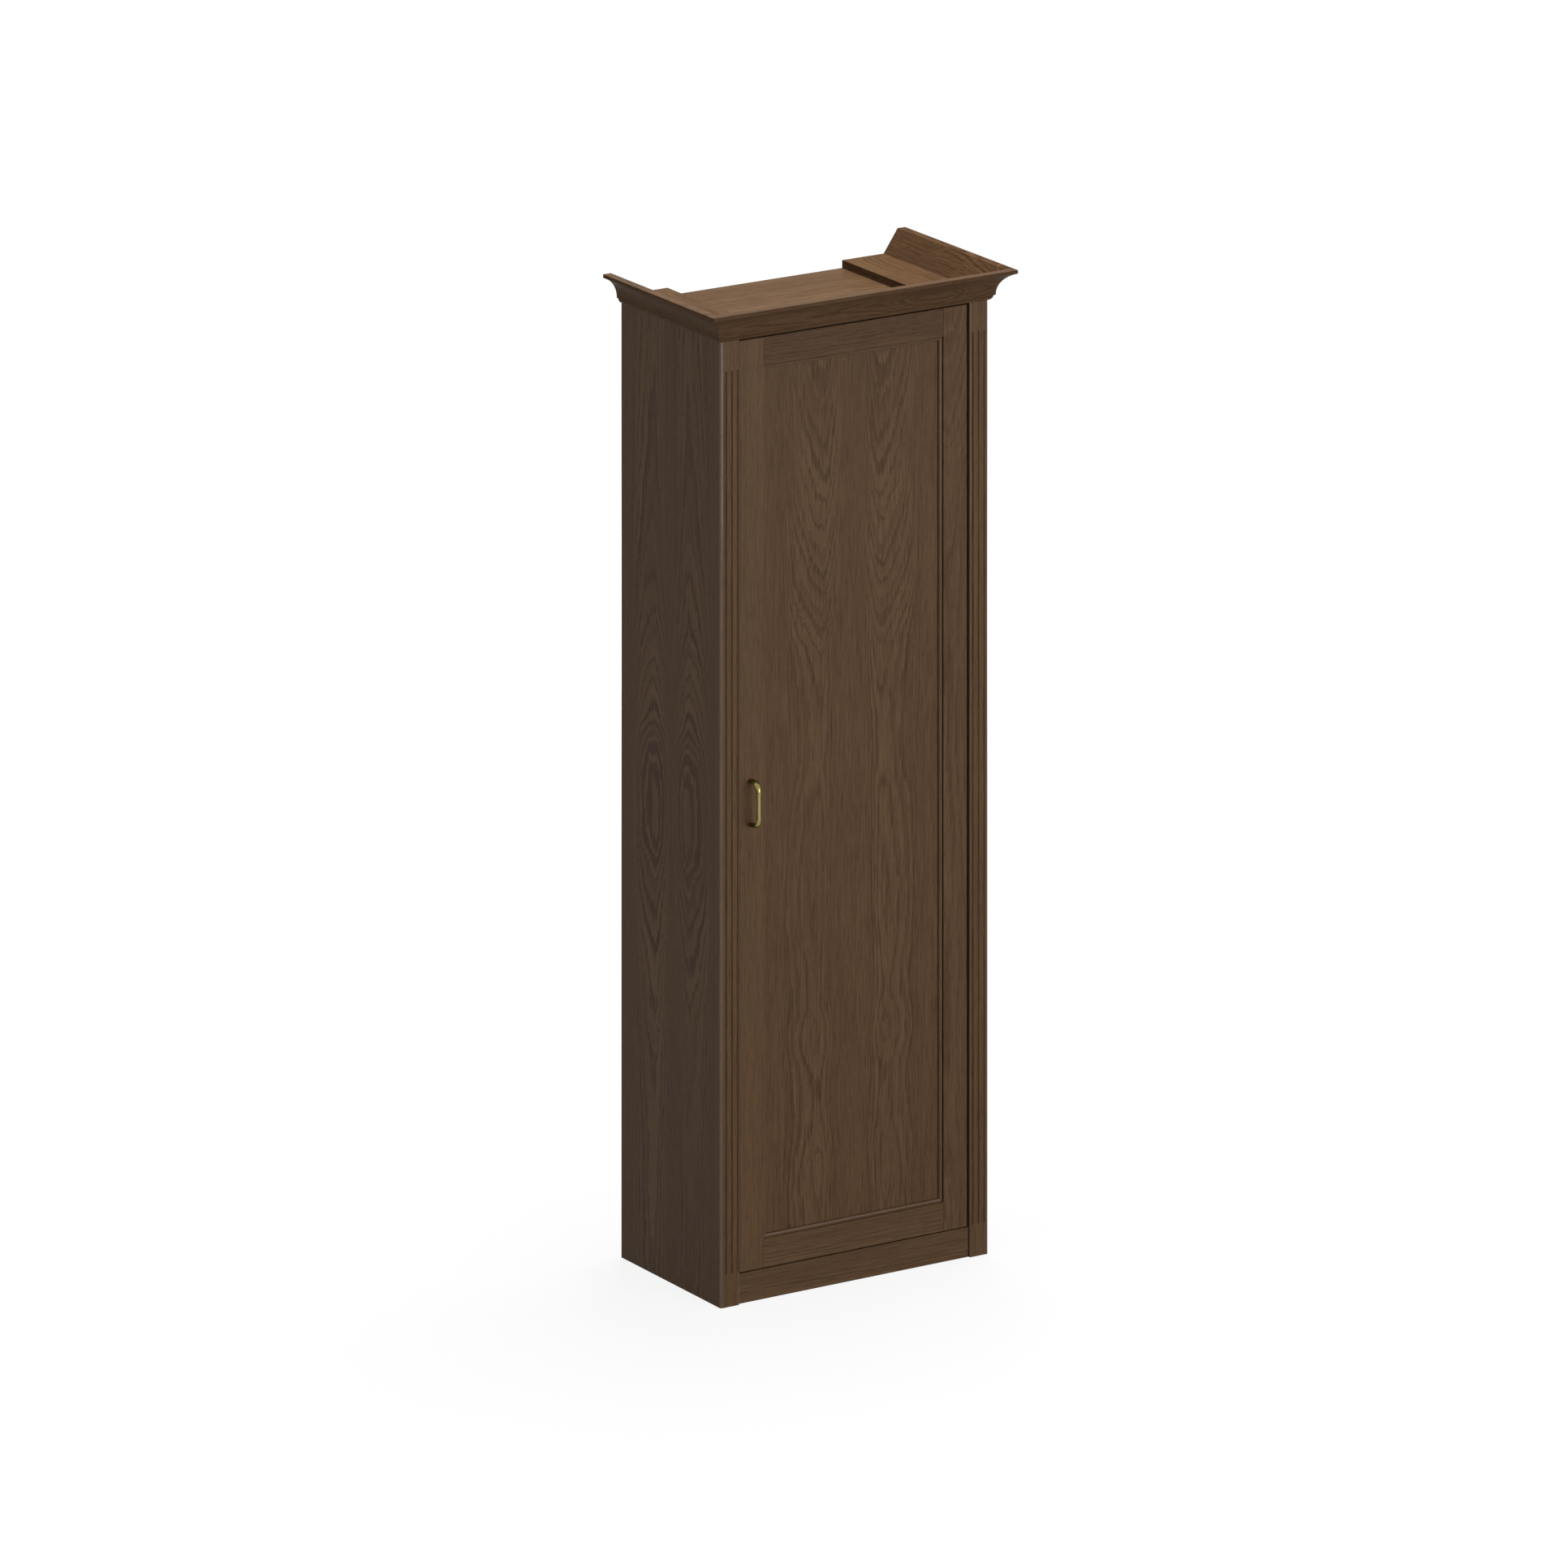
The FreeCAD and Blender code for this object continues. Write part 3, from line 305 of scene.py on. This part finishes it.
def background_rays(graph):
    """1 for the rays that see the background: the camera's, and those that metal and glass send on."""
    path = graph.add("ShaderNodeLightPath")
    seen = path.outputs["Is Camera Ray"]
    for name in ("Is Glossy Ray", "Is Transmission Ray"):
        seen = graph.math("MAXIMUM", seen, path.outputs[name])
    return seen


def set_up_light():
    world = bpy.data.worlds.new("studio")
    bpy.context.scene.world = world
    graph = Graph(world, "Background")
    graph.wire("Color", grey(1.0))
    graph.wire("Strength", graph.remap(background_rays(graph), 0.0, 1.0, WORLD_LIGHT, WORLD_SEEN))
    for lamp in AREA_LAMPS:
        add_area_light(*lamp)
    add_ball_light(*BALL_LAMP)


def set_up_floor():
    mesh = bpy.data.meshes.new("floor")
    half = FLOOR_HALF
    corners = [(-half, -half, 0), (half, -half, 0), (half, half, 0), (-half, half, 0)]
    mesh.from_pydata(corners, [], [(0, 1, 2, 3)])
    floor = bpy.data.objects.new("floor", mesh)
    link(floor)
    graph = material_graph("pale_floor")
    graph.wire("Base Color", grey(FLOOR_GREY))
    graph.wire("Roughness", 1.0)
    graph.wire("Specular IOR Level", 0.0)
    distance = graph.add("ShaderNodeVectorMath", {0: graph.place()}, operation="LENGTH").outputs["Value"]
    white = graph.remap(distance, *FLOOR_DISTANCES, *FLOOR_WHITES)
    strength = graph.math("MULTIPLY", background_rays(graph), white)
    glow = graph.add("ShaderNodeEmission", {"Color": grey(1.0), "Strength": strength})
    total = graph.add("ShaderNodeAddShader", {0: graph.shader.outputs[0], 1: glow.outputs[0]})
    graph.links.new(total.outputs[0], graph.nodes["Material Output"].inputs["Surface"])
    mesh.materials.append(graph.owner)


def dress(nodes, material):
    for node in nodes.split():
        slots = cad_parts[node].data.materials
        slots.clear()
        slots.append(material)


class Board:
    """Places on one board: along its grain, across it, and across and through it with the lean."""

    def __init__(self, graph, node, axes, lean, seed):
        low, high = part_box(node)
        centre = (low + high) / 2
        place = graph.split(graph.place())
        along, across, depth = [place[letter.upper()] for letter in axes]
        across_centre, depth_centre = [centre["xyz".index(letter)] for letter in axes[1:]]
        self.graph = graph
        self.seed = seed
        self.along = along
        self.across = graph.math("SUBTRACT", across, across_centre)
        depth = graph.math("SUBTRACT", depth, depth_centre)
        self.flat = graph.math("MULTIPLY_ADD", depth, lean, self.across)
        self.cross = graph.math("MULTIPLY_ADD", self.across, -lean, depth)

    def grain(self, fineness, length, detail=USUAL_DETAIL):
        """Noise that is drawn out along the grain."""
        x = self.graph.math("MULTIPLY_ADD", self.flat, fineness, self.seed)
        y = self.graph.math("MULTIPLY", self.cross, fineness)
        z = self.graph.math("MULTIPLY", self.along, length)
        return self.graph.noise(self.graph.vector(x, y, z), 1.0, detail)


def growth_rings(board, offset, spread, rise, fold, reach):
    """The count of rings at each place on a board, and what the flame's flanks add to it."""
    graph = board.graph
    leaf = board.flat
    if fold is not None:
        leaf = graph.math("ABSOLUTE", graph.math("SUBTRACT", leaf, fold))
    sway = graph.math("MULTIPLY_ADD", board.grain(*SWAY_GRAIN), SWAY_WIDTH, -SWAY_WIDTH / 2)
    axis = graph.curve(board.along, offset) if isinstance(offset, list) else offset
    side = graph.math("SUBTRACT", graph.math("ADD", leaf, sway), axis)
    flanks = 0.0
    for sign, count, width in zip((-1, 1), spread, reach):
        flank = graph.math("MAXIMUM", graph.math("MULTIPLY", side, sign), 0.0)
        wall = graph.math("POWER", graph.math("DIVIDE", flank, width), WALL_POWER)
        steep = graph.math("MULTIPLY_ADD", wall, count, count)
        flanks = graph.math("MULTIPLY_ADD", graph.math("POWER", flank, FLANK_POWER), steep, flanks)
    rings = graph.math("ADD", graph.curve(board.along, rise), flanks)
    rings = graph.math("MULTIPLY_ADD", board.grain(*WAVE_GRAIN), WAVE_RINGS, rings)
    rings = graph.math("MULTIPLY_ADD", board.grain(*FRAY_GRAIN), FRAY_RINGS, rings)
    # Wider and narrower years.
    years = graph.math("MULTIPLY", rings, PACE_SCALE)
    pace = graph.add("ShaderNodeTexNoise", {"W": years}, noise_dimensions="1D").outputs["Fac"]
    return graph.math("MULTIPLY_ADD", pace, PACE_RINGS, rings), flanks


def ring_strength(board, rings, flanks, figure):
    """How strongly the rings show: in patches, year by year, and less far out on the flanks."""
    graph = board.graph
    low, high = FADE_SHARE * figure * RING_CONTRAST, figure * RING_CONTRAST
    strength = graph.remap(board.grain(*FADE_GRAIN), *FADE_NOISE, low, high)
    number = graph.math("FLOOR", rings)
    year = graph.add("ShaderNodeTexWhiteNoise", {"W": number}, noise_dimensions="1D").outputs["Value"]
    strength = graph.math("MULTIPLY", strength, graph.remap(year, 0.0, 1.0, YEAR_SHARE, 1.0))
    return graph.math("MULTIPLY", strength, graph.remap(flanks, *FLANK_RINGS, 1.0, FLANK_SHARE))


def rounded_edges(graph):
    """1 on rounded edges and mouldings, 0 on flat faces that lie square to the cupboard."""
    size = graph.add("ShaderNodeVectorMath", {0: graph.normal()}, operation="ABSOLUTE").outputs[0]
    x, y, z = graph.split(size)
    largest = graph.math("MAXIMUM", x, graph.math("MAXIMUM", y, z))
    return graph.remap(largest, FLAT_NORMAL, ROUND_NORMAL, 0.0, 1.0)


def rub_edges(board, node):
    """A smooth coat on the rounded edges of a bead or a pilaster."""
    graph = board.graph
    edge = rounded_edges(graph)
    if node in PILASTER_COAT:
        # The flutes stay matt: only the strip's own front edges are rubbed smooth.
        outward = graph.math("MULTIPLY", board.across, 1.0 if "right" in node else -1.0)
        outer = graph.remap(outward, *PILASTER_OUTER, 0.0, 1.0)
        inner = graph.remap(outward, *PILASTER_INNER, 0.0, 1.0)
        edge = graph.math("MULTIPLY", edge, graph.math("ADD", outer, inner))
    weight = PILASTER_COAT.get(node, BEAD_COAT)
    graph.wire("Coat Weight", graph.math("MULTIPLY", edge, weight))
    graph.wire("Coat Roughness", COAT_ROUGHNESS)


def oak(node, axes, offset, spread, rise, seed, lean=0.8, fold=None, figure=1.0, shade=0.0, gloss=0.06,
        reach=(1.0, 1.0)):
    """Stained oak veneer on one board: growth rings cut at a slant, pores, a semi-matt lacquer.

    axes: the axis letters along the grain, across it and through the board.
    offset: the flame's axis, in metres across from the board's middle or its fold, or stops
        (place along the grain, metres) of it.
    spread: how fast rings are added on the two flanks of the flame.
    rise: stops (place along the grain, rings); a flame points to where this grows.
    lean: how fast the figure shifts through the board, so that its edges continue it.
    fold: the line, from the board's middle, where two leaves of veneer meet as mirror images.
    figure: how strongly the rings show. shade: lighter or darker than the other boards.
    gloss: the lacquer's specular level.
    reach: how far, in metres, the two flanks spread before their lines run upright.
    """
    graph = material_graph(f"oak_{node}")
    board = Board(graph, node, axes, lean, seed)
    rings, flanks = growth_rings(board, offset, spread, rise, fold, reach)
    strength = ring_strength(board, rings, flanks, figure)
    ring = graph.ramp(graph.math("FRACT", rings), [(spot, grey(level)) for spot, level in RING_TONES])
    tone = graph.math("MULTIPLY_ADD", graph.math("SUBTRACT", ring, RING_MEAN), strength, 0.5 + shade)
    streak = board.grain(*STREAK_GRAIN)
    tone = graph.math("MULTIPLY_ADD", graph.math("SUBTRACT", streak, 0.5), STREAK_CONTRAST, tone)
    cloud = board.grain(*CLOUD_GRAIN)
    tone = graph.math("MULTIPLY_ADD", graph.math("SUBTRACT", cloud, 0.5), CLOUD_CONTRAST, tone)
    pore = graph.remap(board.grain(*PORE_GRAIN), *PORE_NOISE, 0.0, 1.0)
    tone = graph.math("MULTIPLY_ADD", pore, -PORE_CONTRAST, tone)
    if node in ("cornice_front", "cornice_left", "cornice_right"):
        # Painted shade: the moulding is darkened in its hollows, where shade falls.
        open_air = graph.openness(MOULDING_SHADE_DISTANCE, samples=MOULDING_SHADE_SAMPLES, only_local=True)
        tone = graph.math("MULTIPLY_ADD", graph.math("SUBTRACT", open_air, 1.0), MOULDING_SHADE_CONTRAST, tone)
    stops = [(0.0, linear(OAK_DARK)), (0.5, linear(OAK_MIDDLE)), (1.0, linear(OAK_PALE))]
    graph.wire("Base Color", graph.ramp(tone, stops))
    graph.wire("Roughness", graph.remap(streak, *NOISE_RANGE, *OAK_ROUGHNESS))
    graph.wire("Specular IOR Level", gloss)
    graph.bump(graph.math("MULTIPLY_ADD", pore, -1.0, streak), *OAK_BUMP)
    if "bead" in node or node in PILASTER_COAT:
        rub_edges(board, node)
    dress(node, graph.owner)


def beech(name):
    graph = material_graph(name)
    place = graph.place()
    fleck = graph.noise(place, FLECK_SCALE, FINE_DETAIL)
    blotch = graph.noise(place, BLOTCH_SCALE)
    tone = graph.math("MULTIPLY_ADD", blotch, 0.5, graph.math("MULTIPLY", fleck, 0.5))
    graph.wire("Base Color", graph.ramp(tone, [(0.3, linear(BEECH_DARK)), (0.7, linear(BEECH_PALE))]))
    graph.wire("Roughness", graph.remap(fleck, *NOISE_RANGE, *BEECH_ROUGHNESS))
    graph.bump(fleck, *FINE_BUMP)
    return graph.owner


def bare_metal(name):
    """The graph of a finely scratched metal without a colour, and a mottling for it."""
    graph = material_graph(name)
    place = graph.place()
    mottle = graph.noise(place, MOTTLE_SCALE, FINE_DETAIL)
    graph.wire("Metallic", 1.0)
    graph.bump(graph.noise(place, SCRATCH_SCALE), *METAL_BUMP)
    return graph, mottle


def plated_metal(name, dark, bright, roughness, recess):
    """Plated metal: slight mottling, and painted shade that darkens it in hollows up to recess metres
    wide.
    """
    graph, mottle = bare_metal(name)
    # Painted shade: the colour is darker where the occlusion finds a hollow.
    open_air = graph.math("SUBTRACT", graph.openness(recess, samples=HOLLOW_SHADE_SAMPLES), HOLLOW_SHADE_LEVEL)
    mottle_and_shade = graph.math("MULTIPLY_ADD", mottle, PLATE_MOTTLE, open_air)
    graph.wire("Base Color", graph.ramp(mottle_and_shade, [(0.1, linear(dark)), (0.75, linear(bright))]))
    smooth, rough = roughness - PLATE_SMOOTHER, roughness + PLATE_ROUGHER
    graph.wire("Roughness", graph.remap(mottle, *NOISE_RANGE, smooth, rough))
    return graph.owner


def antique_brass(name):
    """Cast brass with slight mottling, painted lighter on the side facing the front and darker on the
    side facing the door: painted light and shade.
    """
    graph, mottle = bare_metal(name)
    # Painted light and shade: faces turned to the front are lighter, faces turned to the door darker.
    outward = graph.math("MULTIPLY", graph.split(graph.normal())["Y"], -1.0)
    front_lit = graph.remap(outward, *FRONT_LIT_FACING, *FRONT_LIT_TONES)
    mottle_and_shade = graph.math("MULTIPLY_ADD", graph.math("SUBTRACT", mottle, 0.5), BRASS_MOTTLE, front_lit)
    graph.wire("Base Color", graph.ramp(mottle_and_shade, [(0.1, linear(BRASS_DARK)), (0.9, linear(BRASS_BRIGHT))]))
    graph.wire("Roughness", graph.remap(mottle_and_shade, 0.0, 1.0, *BRASS_ROUGHNESS))
    return graph.owner


def moulded(name, colour, roughness):
    """Plastic, rubber or sintered magnet: a fine matt grain."""
    graph = material_graph(name)
    grain = graph.noise(graph.place(), MOULDED_SCALE)
    lighter = [step * MOULDED_LIGHTER for step in colour]
    graph.wire("Base Color", graph.ramp(grain, [(0.3, linear(colour)), (0.7, linear(lighter))]))
    smooth, rough = roughness - MOULDED_ROUGHER, roughness + MOULDED_ROUGHER
    graph.wire("Roughness", graph.remap(grain, *NOISE_RANGE, smooth, rough))
    graph.bump(grain, *FINE_BUMP)
    return graph.owner


def dress_oak():
    # The door panel: flames from above and below that meet at mid-height, long lenses at the foot.
    panel_rise = [
        (0.12, 12.6), (0.25, 12.1), (0.36, 12.9), (0.46, 13.0), (0.55, 12.2), (0.64, 13.0),
        (0.85, 12.2), (1.03, 12.8), (1.18, 13.8), (1.36, 12.8), (1.46, 11.0), (1.60, 7.8),
        (1.76, 4.9), (1.94, 2.1), (2.08, 0.0),
    ]
    panel_axis = [(0.12, 0.088), (1.0, 0.088), (1.5, 0.075), (2.08, 0.073)]
    oak("door_panel", "zxy", offset=panel_axis, spread=(590, 182), rise=panel_rise, seed=3.0,
        lean=0.0, fold=0.0, reach=(0.052, 0.112))

    # The sides: ovals at mid-height, with flames that leave them upwards and downwards.
    side_rise = [
        (0.0, 7.5), (0.4, 6.5), (0.6, 5.5), (0.78, 3.6), (0.9, 1.6), (1.03, 0.0), (1.25, 4.0),
        (1.5, 8.5), (1.8, 11.0), (2.12, 12.0),
    ]
    for node, seed in (("left_side_panel", 8.0), ("right_side_panel", 9.3)):
        oak(node, "zyx", offset=0.072, spread=(300, 160), rise=side_rise, seed=seed,
            lean=0.0, fold=-0.011, figure=2.0, reach=(0.06, 0.09))

    # Upright strips: node, offset, rise, seed, figure, shade.
    flame = [(0.0, 8.0), (0.5, 8.3), (1.0, 8.0), (1.5, 8.2), (1.68, 7.4), (1.85, 4.5), (2.12, 0.0)]
    straight = [(-0.5, 0.0), (0.5, 1.5), (1.5, 2.0), (2.5, 3.0)]
    uprights = [
        ("left_pilaster", 0.08, straight, 21.0, 0.4, 0.08),
        ("right_pilaster", -0.07, straight, 22.0, 0.5, 0.05),
        ("door_stile_left", 0.12, straight, 23.0, 0.25, 0.12),
        ("door_stile_right", -0.032, flame, 24.0, 0.9, 0.0),
        ("door_bead_left", 0.10, straight, 25.0, 0.4, 0.0),
        ("door_bead_right", 0.10, straight, 26.0, 0.4, 0.0),
        ("left_post", 0.10, straight, 27.0, 1.0, 0.0),
        ("hinge_post", 0.10, straight, 28.0, 1.0, 0.0),
        ("door_stop", 0.10, straight, 29.0, 1.0, 0.0),
    ]
    for node, offset, rise, seed, figure, shade in uprights:
        oak(node, "zxy", offset, spread=(290, 290), rise=rise, seed=seed, figure=figure, shade=shade)

    # Strips from left to right: node, seed, shade.
    gentle = [(-0.40, 0.0), (0.0, 1.0), (0.40, 1.5)]
    rails = [
        ("door_rail_top", 32, -0.18),
        ("door_rail_bottom", 33, 0.0),
        ("door_bead_top", 34, -0.1),
        ("door_bead_bottom", 35, 0.0),
        ("plinth_front", 36, 0.0),
        ("plinth_rear", 37, 0.0),
    ]
    for node, seed, shade in rails:
        oak(node, "xzy", offset=-0.13, spread=(255, 255), rise=gentle, seed=seed, shade=shade)

    level_boards = [
        ("top_panel", 40),
        ("cornice_batten_front", 41),
        ("bottom_panel", 42),
        ("fixed_shelf", 43),
        ("shelf_1", 44),
        ("shelf_2", 45),
        ("shelf_4", 46),
        ("shelf_5", 47),
    ]
    for node, seed in level_boards:
        oak(node, "xyz", offset=-0.10, spread=(170, 170), rise=gentle, seed=seed,
            figure=1.8, gloss=0.008)

    crown = [(-0.40, 6.0), (-0.10, 4.5), (0.06, 3.0), (0.20, 0.0), (0.30, 2.5), (0.40, 4.0)]
    wavy = [(-0.24, 0.0), (-0.10, 3.0), (0.02, 4.0), (0.10, 1.5), (0.24, 3.0)]
    # The front cornice is set darker, partly as its own tone and partly as painted shade for its cove
    # that faces downwards.
    oak("cornice_front", "xzy", offset=0.0, spread=(800, 800), rise=crown, seed=31.0,
        lean=-0.8, shade=-0.12, gloss=0.02)
    oak("cornice_left", "yzx", offset=0.06, spread=(365, 365), rise=wavy, seed=51.0,
        lean=-0.8, gloss=0.02)
    oak("cornice_right", "yzx", offset=0.06, spread=(365, 365), rise=wavy, seed=52.0,
        shade=-0.15, gloss=0.0)
    oak("cornice_batten_left", "yxz", offset=0.05, spread=(250, 250), rise=wavy, seed=53.0,
        figure=0.6, gloss=0.006)
    oak("cornice_batten_right", "yxz", offset=0.05, spread=(250, 250), rise=wavy, seed=54.0,
        figure=0.8, gloss=0.0)
    oak("back_panel", "zxy", offset=0.12, spread=(170, 110), rise=flame, seed=61.0,
        lean=0.0, fold=0.0, figure=0.6)


def dress_rest():
    dress("handle", antique_brass("antique_brass"))
    zinc = plated_metal("zinc_plate", ZINC_DARK, ZINC_BRIGHT, roughness=0.30, recess=0.002)
    dress("batten_screws cam_bolts cam_locks catch_screws door_stop_screws handle_screws", zinc)
    dress("hinge_arm_screws hinge_cup_screws hinge_plate_screws", zinc)
    dress("shelf_pins strike_screws catch_strikes", zinc)
    nickel = plated_metal("nickel_plate", NICKEL_DARK, NICKEL_BRIGHT, roughness=0.36, recess=0.003)
    dress("hinge_arms hinge_cups hinge_pins hinge_plates", nickel)
    dress("carcass_dowels pilaster_dowels", beech("raw_beech"))
    dress("catch_housings", moulded("brown_plastic", PLASTIC_BROWN, roughness=0.5))
    dress("catch_magnets", moulded("sintered_magnet", MAGNET_GREY, roughness=0.45))
    dress("door_bumpers", moulded("bumper_rubber", RUBBER_BLACK, roughness=0.8))


bpy.context.scene.view_settings.view_transform = "Standard"
set_up_camera()
set_up_light()
set_up_floor()
dress_oak()
dress_rest()
